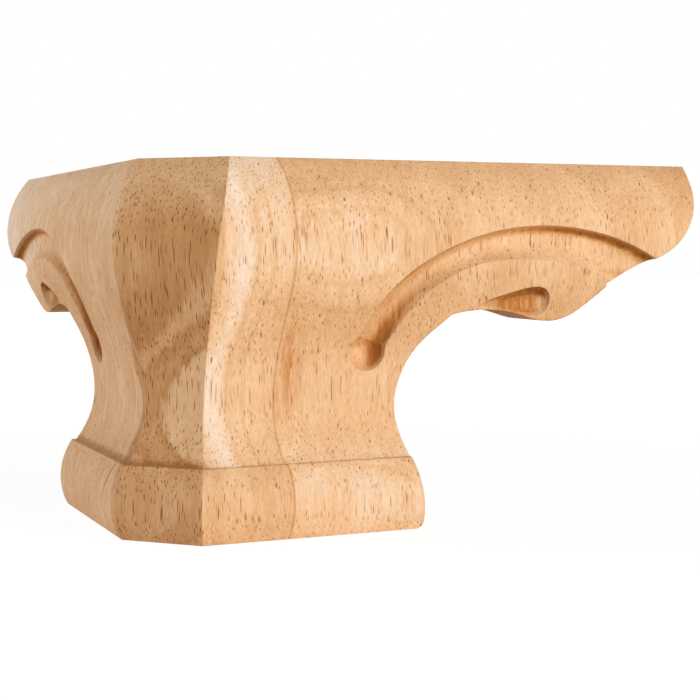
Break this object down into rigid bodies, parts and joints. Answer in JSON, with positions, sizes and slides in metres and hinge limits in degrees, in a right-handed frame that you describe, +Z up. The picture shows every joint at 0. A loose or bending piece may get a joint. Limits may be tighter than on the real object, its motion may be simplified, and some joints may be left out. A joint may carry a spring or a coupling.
{
  "type": "pedestal foot",
  "caption": "Wooden corner foot for a cabinet: ogee-moulded arms at a right angle over a rounded base, with scrolled lower edges and carved grooves.",
  "frame": {"origin": "on the floor, under the middle of the foot's bounding box", "axes": "+Z up; one arm runs along +X and the other along +Y from the chamfered corner, which is towards -X and -Y"},
  "size_m": [0.1952, 0.1952, 0.1143],
  "materials": {
    "rubberwood": "sanded, unfinished"
  },
  "bodies": {
    "root": {"pedestal_foot": "rubberwood"}
  },
  "joints": []
}
